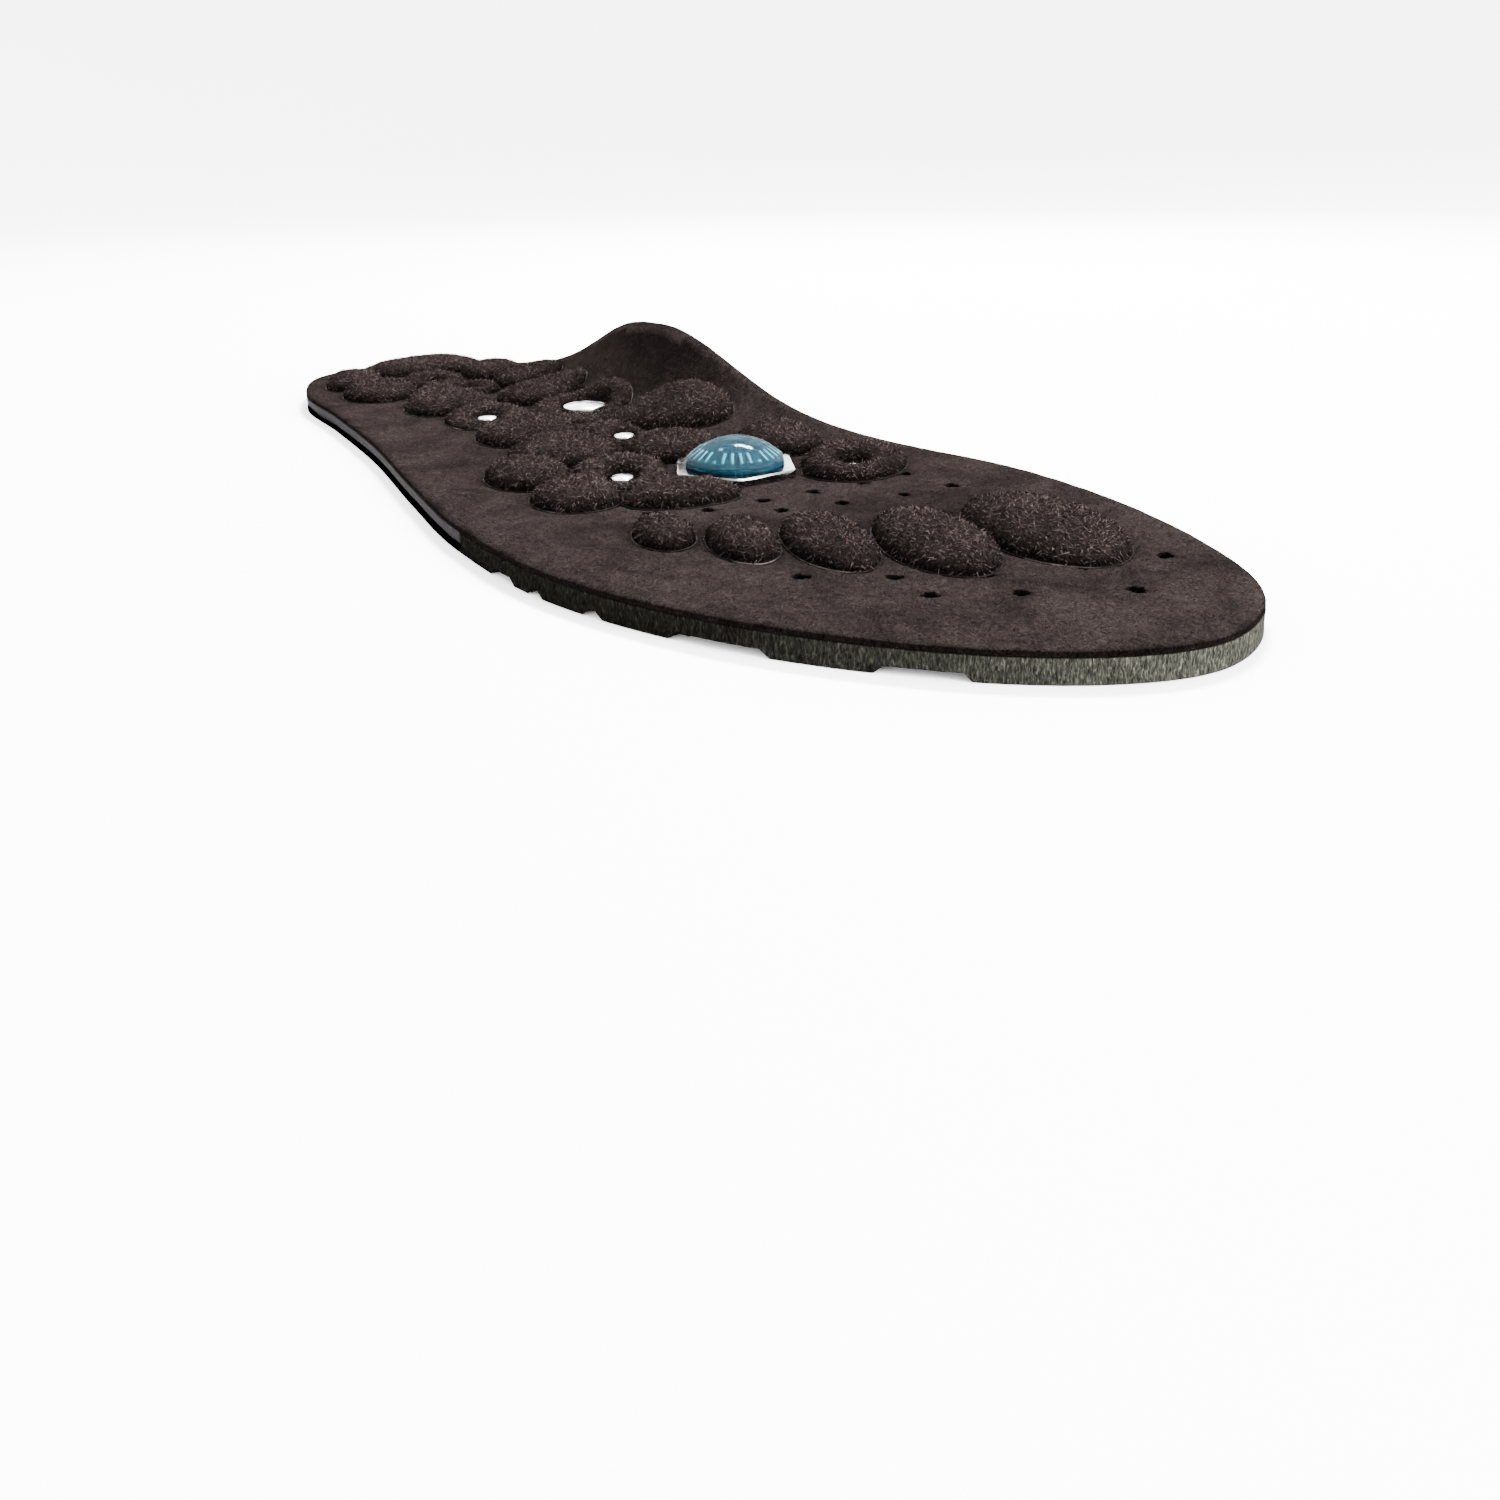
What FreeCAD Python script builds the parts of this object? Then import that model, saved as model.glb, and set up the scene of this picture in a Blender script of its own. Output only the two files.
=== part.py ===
import FreeCAD, Part
import math
import os

from FreeCAD import Placement, Rotation, Vector

# Right-foot massage insole in millimetres. +X runs from heel to toe, +Y to the inner (arch)
# side, +Z up. Plan positions are drawn from the back of the heel (x) and the long axis (y);
# the origin is the middle of the outline, on the ground.

doc = FreeCAD.newDocument("cushioned_insole")
sheet = doc.addObject("Spreadsheet::Sheet", "Sizes")

SIZES = [
    # the outline, and the size that the plan pattern below is drawn at
    ("insole_length", 258.5), ("insole_width", 91.6),
    ("pattern_length", 258.5), ("pattern_width", 91.6),
    ("origin_along", 129.2), ("origin_across", 1.1),
    # layers
    ("foam_thickness", 3.2), ("cover_thickness", 0.8),
    ("undercut_depth", 1.8), ("undercut_rise", 2.2),
    ("joint_station", 162.0),
    # arch flange
    ("arch_rise", 20.5), ("arch_station", 96.0),
    ("arch_reach_heel", 42.0), ("arch_reach_toe", 29.0),
    ("arch_foot_line", 10.0), ("arch_run", 20.0), ("arch_wall", 5.0),
    ("arch_blend_sink", 0.3), ("arch_gap", 0.1),
    # recesses under the forefoot and vent holes through it
    ("tread_depth", 1.0), ("vent_diameter", 2.0),
    # fits
    ("window_gap", 0.3), ("seat_gap", 0.15), ("plate_gap", 0.4),
    # magnets
    ("small_magnet_diameter", 4.0), ("small_magnet_thickness", 1.4),
    ("large_magnet_diameter", 9.0), ("large_magnet_thickness", 2.4),
    ("magnet_well_gap", 0.4),
    # button
    ("plate_radius", 11.8), ("plate_thickness", 1.4),
    ("print_radius", 8.6), ("print_thickness", 0.3),
    ("dome_radius", 9.0), ("dome_skirt", 0.8), ("dome_rise", 4.0),
    ("button_along", 158.5), ("button_across", 7.0),
]

# Points of the closed outline, anticlockwise from the back of the heel.
OUTLINE = [
    (0, -1), (7, -21), (30, -31), (60, -33), (95, -36), (130, -41), (160, -44.5), (190, -43.5),
    (218, -34.5), (241, -19.5), (254.5, -4), (258.5, 10.5), (251.5, 25.5), (234, 36.5),
    (209.5, 44.5), (184.5, 47), (159.5, 42.5), (130, 33.5), (100, 29), (65, 30), (30, 28.5),
    (8, 18.5),
]

# Pads: name, centre x and y, half length, half width, turn in degrees, height above the cover.
FLAT_PADS = [
    ("toe_pad_1", 216.3, 21.5, 16.2, 8.8, -15, 3.8),
    ("toe_pad_2", 211.0, 5.2, 14.3, 6.4, -18, 3.3),
    ("toe_pad_3", 201.8, -6.7, 13.0, 5.3, -18, 2.9),
    ("toe_pad_4", 194.0, -15.7, 10.0, 4.6, -17, 2.7),
    ("toe_pad_5", 183.5, -22.8, 8.6, 4.2, -17, 2.5),
    ("outer_pad_1", 25.2, -17.7, 8.8, 6.6, -20, 3.6),
    ("outer_pad_2", 43.6, -17.4, 8.8, 7.8, 5, 3.6),
    ("outer_pad_3", 68.2, -10.0, 9.1, 9.4, 0, 3.5),
    ("outer_pad_4", 107.5, -9.0, 9.4, 9.6, 0, 3.6),
    ("outer_pad_5", 127.2, -10.6, 9.2, 9.4, 0, 3.6),
    ("outer_pad_6", 139.2, -24.5, 9.3, 6.6, -4, 3.5),
    ("outer_pad_7", 157.2, -23.9, 7.4, 6.6, 0, 3.2),
    ("outer_pad_8", 167.4, -10.6, 9.8, 4.8, 72, 3.2),
    ("heel_pad", 14.0, 3.5, 14.0, 8.8, -90, 3.6),
    ("middle_pad", 137.8, 5.6, 8.6, 8.7, 0, 3.8),
]

# Ring pads, with the place of the magnet in each, from the pad's centre.
RING_PADS = [
    ("heel_ring_pad_1", 36.8, -2.2, 7.4, 6.4, 0, 3.2, 1.6, -0.6),
    ("heel_ring_pad_2", 53.2, -3.6, 10.6, 5.6, -86, 3.3, 0.4, 3.6),
    ("outer_ring_pad", 87.7, -8.6, 9.1, 8.2, 0, 3.3, 0.2, -0.9),
    ("middle_ring_pad_1", 118.2, 4.8, 8.6, 4.0, 5, 2.6, 3.6, 0.0),
    ("middle_ring_pad_2", 149.0, -9.9, 8.6, 7.3, 0, 3.5, 2.6, -1.6),
    ("ball_ring_pad", 167.2, 26.6, 11.2, 8.6, 125, 3.8, 2.8, -2.6),
]

# Pads on the rising arch: as above, with the tilt towards the arch and the lift of the centre.
ARCH_PADS = [
    ("heel_inner_pad", 32.7, 14.0, 7.8, 6.6, 0, 3.5, 3, 0.2),
    ("heel_arch_pad", 50.0, 17.3, 8.0, 7.6, 0, 3.4, 8, 0.9),
    ("arch_rear_pad", 70.6, 11.2, 10.0, 8.2, 105, 3.8, 12, 1.4),
    ("arch_ring_pad", 92.4, 10.2, 10.5, 9.6, 0, 4.0, 13, 1.4),
    ("arch_front_pad", 115.5, 16.0, 11.6, 5.2, 24, 3.8, 17, 2.0),
    ("ball_pad", 146.6, 24.7, 8.3, 6.8, 10, 3.6, 2, 0.2),
]
ARCH_MAGNET = (93.0, 10.6)

VENTS = [
    (178, 29), (178.5, 19.5), (178, 9.5), (177.5, 0), (177, -10), (173, -18),
    (189, 30), (188.5, 20), (186.5, 9), (184, -1),
    (235, 27), (231.5, 14.5), (226, 3), (219.5, -8), (212, -17.5),
    (242, 13), (234, 0.5), (227.5, -9),
]

# Recess bars across the underside of the forefoot: start and end station.
TREAD_BARS = [(174.5, 180.2), (185.2, 188.7), (197.5, 200.5), (212.5, 224), (235.2, 243.5)]

# Grid of plan points that the arch surface passes through.
ARCH_STATIONS = range(-10, 175, 5)
ARCH_OFFSETS = range(-12, 52, 4)
# How fast the flange falls off along the foot, and how it curls up across it.
ARCH_FALL_POWER = 2
ARCH_CURL_POWER = 2

# Reach of cutting tools past the part: behind the heel, to the side, up and down.
BEHIND_HEEL = -60.0
SIDE_REACH = 60.0
TALL = 60.0
GROUND_DEPTH = 10.0

PLATE_SIDES = 6
PLATE_TURN = 30.0


def add_size(alias, value):
    """Write one size into the next row of the sheet, with its alias."""
    row = len(sheet.getUsedCells()) // 2 + 1
    sheet.set("A%d" % row, alias)
    sheet.set("B%d" % row, str(value))
    sheet.setAlias("B%d" % row, alias)


def fill_sheet():
    for alias, value in SIZES:
        add_size(alias, value)
    doc.recompute()


def size(alias):
    return float(sheet.get(alias))


def along(station):
    """Place along the foot in the part's frame, graded with the length."""
    grade = size("insole_length") / size("pattern_length")
    return (station - size("origin_along")) * grade


def across(offset):
    """Place across the foot in the part's frame, graded with the width."""
    grade = size("insole_width") / size("pattern_width")
    return (offset - size("origin_across")) * grade


def outline_curve(height, inset=0.0):
    """Closed smooth curve of the outline at a height, moved inwards by an inset."""
    points = [Vector(along(x), across(y), height) for x, y in OUTLINE]
    if inset:
        points = [inset_point(points, index, inset) for index in range(len(points))]
    curve = Part.BSplineCurve()
    curve.interpolate(Points=points, PeriodicFlag=True)
    return curve


def inset_point(points, index, inset):
    before = points[index - 1]
    after = points[(index + 1) % len(points)]
    run = after - before
    inward = Vector(-run.y, run.x, 0).normalize()
    return points[index] + inward * inset


def outline_wire(height, inset=0.0):
    return Part.Wire([outline_curve(height, inset).toShape()])


def outline_block(bottom, top):
    """Solid between two heights inside the outline."""
    face = Part.Face(outline_wire(bottom))
    return face.extrude(Vector(0, 0, top - bottom))


def arch_height(station, offset):
    """Rise of the arch flange above the flat foam at a plan point."""
    past_crest = station - size("arch_station")
    reach = size("arch_reach_toe") if past_crest > 0 else size("arch_reach_heel")
    fall = (past_crest / reach) ** ARCH_FALL_POWER
    crest = size("arch_rise") * math.exp(-fall)
    share = max(0.0, (offset - size("arch_foot_line")) / size("arch_run"))
    return crest * share ** ARCH_CURL_POWER


def under_arch(shift):
    """Solid below the arch surface, the surface moved up by a shift."""
    base = size("foam_thickness") - size("arch_blend_sink") + shift
    grid = []
    for station in ARCH_STATIONS:
        row = []
        for offset in ARCH_OFFSETS:
            height = base + arch_height(station, offset)
            row.append(Vector(along(station), across(offset), height))
        grid.append(row)
    surface = Part.BSplineSurface()
    surface.interpolate(grid)
    return surface.toShape().extrude(Vector(0, 0, -TALL))


def make_feature(name, shape):
    feature = doc.addObject("Part::Feature", name)
    feature.Label = name
    feature.Shape = shape
    return feature


def foam_envelope(bottom, gap):
    """Solid up to the top of the foam, the arch surface moved up by a gap."""
    flat = outline_block(bottom, size("foam_thickness"))
    flange = outline_block(bottom, TALL).common(under_arch(gap))
    return flat.fuse(flange).removeSplitter()


def undercut_ring():
    """What the rounded-under rear edge leaves out at the bottom."""
    rise = size("undercut_rise")
    block = outline_block(0, rise)
    lower = outline_wire(0, size("undercut_depth"))
    core = Part.makeLoft([lower, outline_wire(rise)], True, True)
    return block.cut(core)


def box_between(start, end, top):
    """Box over a range of stations, wider than the foot."""
    length = along(end) - along(start)
    return Part.makeBox(length, 2 * SIDE_REACH, top, Vector(along(start), -SIDE_REACH, 0))


def rear_base_shape():
    """Moulded rear base: heel to ball, with the arch flange and its hollow underside."""
    behind_joint = box_between(BEHIND_HEEL, size("joint_station"), TALL)
    rear = foam_envelope(0, 0).common(behind_joint)
    hollow = under_arch(-size("arch_wall"))
    ring = undercut_ring()
    x, y = ARCH_MAGNET
    seat = Part.makeCylinder(
        size("large_magnet_diameter") / 2 + size("seat_gap"), TALL,
        Vector(along(x), across(y), size("foam_thickness")))
    return rear.cut(hollow).cut(ring).cut(seat)


def new_sketch(body, name, height):
    """Sketch parallel to the body's XY plane."""
    plane = next(f for f in body.Origin.OriginFeatures if f.Role == "XY_Plane")
    sketch = body.newObject("Sketcher::SketchObject", name)
    sketch.AttachmentSupport = [(plane, "")]
    sketch.MapMode = "FlatFace"
    sketch.AttachmentOffset = Placement(Vector(0, 0, height), Rotation())
    return sketch


def add_rectangle(sketch, x0, y0, x1, y1):
    corners = [Vector(x0, y0, 0), Vector(x1, y0, 0), Vector(x1, y1, 0), Vector(x0, y1, 0)]
    for index in range(4):
        sketch.addGeometry(Part.LineSegment(corners[index], corners[(index + 1) % 4]), False)


def cut_through(body, sketch, name, depth_alias=None):
    """Pocket upwards from a sketch, right through or to a named depth."""
    pocket = body.newObject("PartDesign::Pocket", name)
    pocket.Profile = sketch
    pocket.Reversed = True
    if depth_alias:
        pocket.setExpression("Length", "Sizes." + depth_alias)
    else:
        pocket.Type = 1
    before = body.Shape.Volume
    body.Tip = pocket
    doc.recompute()
    if pocket.Shape.Volume >= before:
        raise RuntimeError(name + " cuts nothing")


def make_forefoot_foam():
    """Forefoot sheet, cut square, with recess bars below and vent holes."""
    body = doc.addObject("PartDesign::Body", "forefoot_foam")
    body.Label = "forefoot_foam"
    profile = new_sketch(body, "forefoot_outline", 0)
    profile.addGeometry(outline_curve(0), False)
    pad = body.newObject("PartDesign::Pad", "forefoot_sheet")
    pad.Profile = profile
    pad.setExpression("Length", "Sizes.foam_thickness")
    doc.recompute()
    rear = new_sketch(body, "rear_cutoff", 0)
    joint = along(size("joint_station"))
    add_rectangle(rear, along(BEHIND_HEEL), -SIDE_REACH, joint, SIDE_REACH)
    cut_through(body, rear, "rear_removed")
    bars = new_sketch(body, "tread_bars", 0)
    for start, end in TREAD_BARS:
        add_rectangle(bars, along(start), -SIDE_REACH, along(end), SIDE_REACH)
    cut_through(body, bars, "tread_recess", "tread_depth")
    vents = new_sketch(body, "vent_circles", 0)
    radius = size("vent_diameter") / 2
    for x, y in VENTS:
        centre = Vector(along(x), across(y), 0)
        vents.addGeometry(Part.Circle(centre, Vector(0, 0, 1), radius), False)
    cut_through(body, vents, "vent_holes")
    return body


def graded_half(pad, index):
    """Half length or half width of a pad, graded by the smaller of the outline's two grades."""
    grade_along = size("insole_length") / size("pattern_length")
    grade_across = size("insole_width") / size("pattern_width")
    return pad[index] * min(grade_along, grade_across)


def pad_outline_block(pad, gap, bottom, top):
    """Upright elliptical block of a pad's plan shape, larger all round by a gap."""
    long_half = graded_half(pad, 3) + gap
    wide_half = graded_half(pad, 4) + gap
    if long_half >= wide_half:
        ellipse = Part.Ellipse(Vector(0, 0, 0), long_half, wide_half)
        turn = pad[5]
    else:
        ellipse = Part.Ellipse(Vector(0, 0, 0), wide_half, long_half)
        turn = pad[5] + 90
    block = Part.Face(Part.Wire([ellipse.toShape()])).extrude(Vector(0, 0, top - bottom))
    block.Placement = Placement(
        Vector(along(pad[1]), across(pad[2]), bottom), Rotation(Vector(0, 0, 1), turn))
    return block


def dome_object(name, pad, full):
    """Ellipsoid of a pad, its radii bound to cells of its own."""
    add_size(pad[0] + "_long", graded_half(pad, 3))
    add_size(pad[0] + "_wide", graded_half(pad, 4))
    add_size(pad[0] + "_rise", pad[6])
    doc.recompute()
    dome = doc.addObject("Part::Ellipsoid", name)
    dome.Angle1 = -90 if full else 0
    dome.setExpression("Radius1", "Sizes.%s_rise + Sizes.cover_thickness" % pad[0])
    dome.setExpression("Radius2", "Sizes.%s_long" % pad[0])
    dome.setExpression("Radius3", "Sizes.%s_wide" % pad[0])
    return dome


def place_flat(dome, pad):
    centre = Vector(along(pad[1]), across(pad[2]), size("foam_thickness"))
    dome.Placement = Placement(centre, Rotation(Vector(0, 0, 1), pad[5]))


def cylinder_object(name, diameter, thickness, x, y, bottom):
    cylinder = doc.addObject("Part::Cylinder", name)
    cylinder.Label = name
    cylinder.setExpression("Radius", "(%s) / 2" % diameter)
    cylinder.setExpression("Height", thickness)
    cylinder.Placement = Placement(Vector(x, y, bottom), Rotation())
    return cylinder


def cut_object(name, base, tool):
    cut = doc.addObject("Part::Cut", name)
    cut.Label = name
    cut.Base = base
    cut.Tool = tool
    return cut


def magnet_well(name, kind, x, y):
    """Open well for a magnet, wider than it by the well gap."""
    return cylinder_object(
        name, "Sizes.%s_magnet_diameter + 2 * Sizes.magnet_well_gap" % kind,
        str(TALL) + " mm", x, y, 0)


def make_flat_pad(pad, seat):
    """Pad on the flat foam, kept clear of the button's plate."""
    dome = dome_object(pad[0] + "_dome", pad, False)
    place_flat(dome, pad)
    return cut_object(pad[0], dome, seat)


def make_ring_pad(pad, seat):
    """Ring pad with its magnet in the middle."""
    dome = dome_object(pad[0] + "_dome", pad, False)
    place_flat(dome, pad)
    x = along(pad[1] + pad[7])
    y = across(pad[2] + pad[8])
    ring = cut_object(pad[0] + "_ring", dome, magnet_well(pad[0] + "_well", "small", x, y))
    magnet = cylinder_object(
        pad[0].replace("ring_pad", "magnet"), "Sizes.small_magnet_diameter",
        "Sizes.small_magnet_thickness", x, y, size("foam_thickness"))
    return [cut_object(pad[0], ring, seat), magnet]


def make_arch_pad(pad, ground):
    """Pad that leans on the rising arch flange."""
    dome = dome_object(pad[0] + "_dome", pad, True)
    centre = Vector(along(pad[1]), across(pad[2]), size("foam_thickness") + pad[8])
    tilt = Rotation(Vector(1, 0, 0), pad[7])
    dome.Placement = Placement(centre, tilt * Rotation(Vector(0, 0, 1), pad[5]))
    if pad[0] != "arch_ring_pad":
        return [cut_object(pad[0], dome, ground)]
    x = along(ARCH_MAGNET[0])
    y = across(ARCH_MAGNET[1])
    ring = cut_object(pad[0] + "_ring", dome, magnet_well(pad[0] + "_well", "large", x, y))
    magnet = cylinder_object(
        "arch_magnet", "Sizes.large_magnet_diameter", "Sizes.large_magnet_thickness",
        x, y, size("foam_thickness"))
    return [cut_object(pad[0], ring, ground), magnet]


def top_cover_shape(ground):
    """Velvet sheet over the foam, with a window for each pad and each vent."""
    top = size("foam_thickness") + size("cover_thickness")
    flange = outline_block(0, TALL).common(under_arch(size("cover_thickness")))
    sheet_shape = outline_block(0, top).fuse(flange).cut(ground)
    windows = [pad_outline_block(p, size("window_gap"), 0, TALL)
               for p in FLAT_PADS + RING_PADS + ARCH_PADS]
    radius = size("vent_diameter") / 2
    windows += [Part.makeCylinder(radius, TALL, Vector(along(x), across(y), 0)) for x, y in VENTS]
    return sheet_shape.cut(windows)


def make_button():
    """Clear hexagonal carrier plate, printed disc and clear dome, stacked on the cover."""
    x = along(size("button_along"))
    y = across(size("button_across"))
    level = size("foam_thickness") + size("cover_thickness")
    plate = doc.addObject("Part::Prism", "button_plate")
    plate.Label = "button_plate"
    plate.Polygon = PLATE_SIDES
    plate.setExpression("Circumradius", "Sizes.plate_radius")
    plate.setExpression("Height", "Sizes.plate_thickness")
    plate.Placement = Placement(Vector(x, y, level), Rotation(Vector(0, 0, 1), PLATE_TURN))
    level += size("plate_thickness")
    disc = cylinder_object(
        "button_print", "2 * Sizes.print_radius", "Sizes.print_thickness", x, y, level)
    level += size("print_thickness")
    dome = make_button_dome(x, y, level)
    return [plate, disc, dome]


def make_button_dome(x, y, level):
    """Clear dome: a revolved arc on a short skirt."""
    body = doc.addObject("PartDesign::Body", "button_dome")
    body.Label = "button_dome"
    plane = next(f for f in body.Origin.OriginFeatures if f.Role == "XZ_Plane")
    sketch = body.newObject("Sketcher::SketchObject", "dome_profile")
    sketch.AttachmentSupport = [(plane, "")]
    sketch.MapMode = "FlatFace"
    radius = size("dome_radius")
    skirt = size("dome_skirt")
    top = skirt + size("dome_rise")
    half_chord = radius / 2
    cap = (radius ** 2 + size("dome_rise") ** 2) / (2 * size("dome_rise"))
    middle = math.sqrt(cap ** 2 - half_chord ** 2) - (cap - size("dome_rise")) + skirt
    sketch.addGeometry(Part.LineSegment(Vector(0, top, 0), Vector(0, 0, 0)), False)
    sketch.addGeometry(Part.LineSegment(Vector(0, 0, 0), Vector(radius, 0, 0)), False)
    sketch.addGeometry(Part.LineSegment(Vector(radius, 0, 0), Vector(radius, skirt, 0)), False)
    arc = Part.Arc(Vector(radius, skirt, 0), Vector(half_chord, middle, 0), Vector(0, top, 0))
    sketch.addGeometry(arc, False)
    revolution = body.newObject("PartDesign::Revolution", "dome_turn")
    revolution.Profile = sketch
    revolution.ReferenceAxis = (sketch, ["V_Axis"])
    revolution.Angle = 360
    body.Placement = Placement(Vector(x, y, level), Rotation())
    return body


def plate_seat_object():
    """Room kept free for the plate, as a tool for the pads beside it."""
    seat = doc.addObject("Part::Prism", "plate_seat")
    seat.Polygon = PLATE_SIDES
    seat.setExpression("Circumradius", "Sizes.plate_radius + Sizes.plate_gap")
    seat.Height = TALL
    centre = Vector(along(size("button_along")), across(size("button_across")), 0)
    seat.Placement = Placement(centre, Rotation(Vector(0, 0, 1), PLATE_TURN))
    return seat


def check_and_export(nodes):
    """Stop at any failed object or bad shape, then write each node's STEP file."""
    doc.recompute()
    for item in doc.Objects:
        if "Invalid" in item.State or "Error" in item.State:
            raise RuntimeError("failed object: " + item.Label)
    for node in nodes:
        if node.Shape.isNull() or not node.Shape.isValid() or not node.Shape.Solids:
            raise RuntimeError("bad shape: " + node.Label)
    os.makedirs("parts", exist_ok=True)
    for node in nodes:
        node.Shape.exportStep("parts/%s.step" % node.Label)


def build():
    fill_sheet()
    ground = make_feature("foam_ground", foam_envelope(-GROUND_DEPTH, size("arch_gap")))
    seat = plate_seat_object()
    nodes = [make_feature("rear_base", rear_base_shape()), make_forefoot_foam()]
    nodes.append(make_feature("top_cover", top_cover_shape(ground.Shape)))
    nodes += [make_flat_pad(pad, seat) for pad in FLAT_PADS]
    for pad in RING_PADS:
        nodes += make_ring_pad(pad, seat)
    for pad in ARCH_PADS:
        nodes += make_arch_pad(pad, ground)
    nodes += make_button()
    check_and_export(nodes)


build()
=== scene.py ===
import math
import random

import bmesh
import bpy
from mathutils import Matrix, Vector, noise
from mathutils.geometry import delaunay_2d_cdt


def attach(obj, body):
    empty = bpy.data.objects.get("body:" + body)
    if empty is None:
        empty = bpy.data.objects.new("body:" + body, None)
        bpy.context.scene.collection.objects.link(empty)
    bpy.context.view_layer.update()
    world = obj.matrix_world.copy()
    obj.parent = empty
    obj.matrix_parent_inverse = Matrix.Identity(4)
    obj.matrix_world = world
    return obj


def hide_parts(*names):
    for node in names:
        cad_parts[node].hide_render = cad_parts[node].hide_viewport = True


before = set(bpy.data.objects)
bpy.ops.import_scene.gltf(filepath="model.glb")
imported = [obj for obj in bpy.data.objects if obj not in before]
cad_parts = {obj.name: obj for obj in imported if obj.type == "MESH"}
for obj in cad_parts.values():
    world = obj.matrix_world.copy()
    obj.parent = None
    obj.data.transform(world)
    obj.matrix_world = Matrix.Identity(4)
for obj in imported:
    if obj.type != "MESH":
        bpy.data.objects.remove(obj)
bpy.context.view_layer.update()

# Plan sizes below are in millimetres on the foot: x from the back of the heel, y towards the
# arch, z up from the surface the insole lies on. place() turns them into the frame.
MM = 0.001
ORIGIN_X = 129.2
ORIGIN_Y = 1.1

GROUND = 3.2
VELVET = 4.0
JOINT = 162.0
ARCH_RISE = 20.5
ARCH_X = 96.0
ARCH_REACH_HEEL = 42.0
ARCH_REACH_TOE = 29.0
ARCH_FOOT = 10.0
ARCH_RUN = 20.0
ARCH_WALL = 2.1
TREAD_DEPTH = 1.0
VENT_RADIUS = 1.25

OUTLINE = [
    (0, -1), (7, -21), (30, -31), (60, -33), (95, -36), (130, -41), (160, -44.5), (190, -43.5),
    (218, -34.5), (241, -19.5), (254.5, -4), (258.5, 10.5), (251.5, 25.5), (234, 36.5),
    (209.5, 44.5), (184.5, 47), (159.5, 42.5), (130, 33.5), (100, 29), (65, 30), (30, 28.5),
    (8, 18.5),
]

# Pads: node, centre x and y, half length, half width, turn in degrees, height, egg, squareness.
# Egg widens the far end of the length; squareness 2 is an ellipse, more is fuller at the corners.
PADS = [
    ("toe_pad_1", 216.9, 22.2, 17.0, 9.4, -15, 4.1, 0.12, 2.2),
    ("toe_pad_2", 211.8, 5.8, 14.8, 7.5, -18, 3.7, 0.12, 2.1),
    ("toe_pad_3", 202.6, -5.9, 13.0, 5.9, -17, 3.3, 0.10, 2.1),
    ("toe_pad_4", 195.0, -15.5, 9.2, 4.8, -16, 3.1, 0.06, 2.1),
    ("toe_pad_5", 184.7, -22.4, 7.2, 4.4, -16, 2.8, 0.04, 2.1),
    ("outer_pad_1", 25.4, -17.9, 9.4, 6.8, -16, 3.8, 0.05, 2.2),
    ("outer_pad_2", 43.8, -17.6, 9.6, 8.2, 4, 3.8, 0.05, 2.2),
    ("outer_pad_3", 68.4, -10.4, 9.7, 9.7, 0, 3.8, 0.08, 2.2),
    ("outer_pad_4", 107.3, -9.2, 10.1, 9.9, 0, 3.9, 0.08, 2.3),
    ("outer_pad_5", 127.6, -10.8, 10.1, 9.9, 0, 3.9, -0.05, 2.3),
    ("outer_pad_6", 140.0, -23.5, 9.3, 7.1, -4, 3.7, 0.0, 2.2),
    ("outer_pad_7", 157.9, -23.3, 8.0, 7.0, 0, 3.5, 0.0, 2.2),
    ("outer_pad_8", 167.9, -9.4, 9.7, 5.6, 70, 3.4, -0.1, 2.1),
    ("heel_pad", 14.4, 2.6, 16.2, 9.4, 90, 3.8, 0.2, 2.2),
    ("heel_inner_pad", 32.7, 14.4, 8.4, 7.4, 0, 3.7, 0.0, 2.2),
    ("middle_pad", 138.4, 6.1, 9.2, 9.3, 0, 4.1, 0.0, 2.3),
    ("heel_arch_pad", 50.0, 16.6, 8.6, 8.2, 0, 3.8, 0.0, 2.3),
    ("arch_rear_pad", 70.6, 11.4, 10.6, 8.8, 105, 4.1, -0.1, 2.3),
    ("arch_front_pad", 116.6, 18.3, 14.6, 6.9, 30, 3.9, -0.2, 2.1),
    ("ball_pad", 146.6, 24.7, 8.9, 7.4, 10, 3.8, 0.0, 2.2),
    ("heel_ring_pad_1", 36.8, -2.4, 8.0, 7.4, 0, 3.5, 0.0, 2.3),
    ("heel_ring_pad_2", 53.6, -3.6, 11.4, 6.4, -86, 3.6, 0.0, 2.2),
    ("outer_ring_pad", 87.7, -8.8, 9.9, 8.9, 0, 3.6, 0.0, 2.4),
    ("middle_ring_pad_1", 118.4, 4.4, 9.6, 5.2, 5, 3.1, 0.0, 2.4),
    ("middle_ring_pad_2", 149.0, -9.9, 9.6, 8.3, 0, 3.8, 0.0, 2.3),
    ("ball_ring_pad", 167.2, 26.4, 11.8, 9.2, 125, 4.0, 0.0, 2.2),
    ("arch_ring_pad", 92.4, 10.2, 11.2, 10.3, 0, 4.3, 0.0, 2.4),
]

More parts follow.
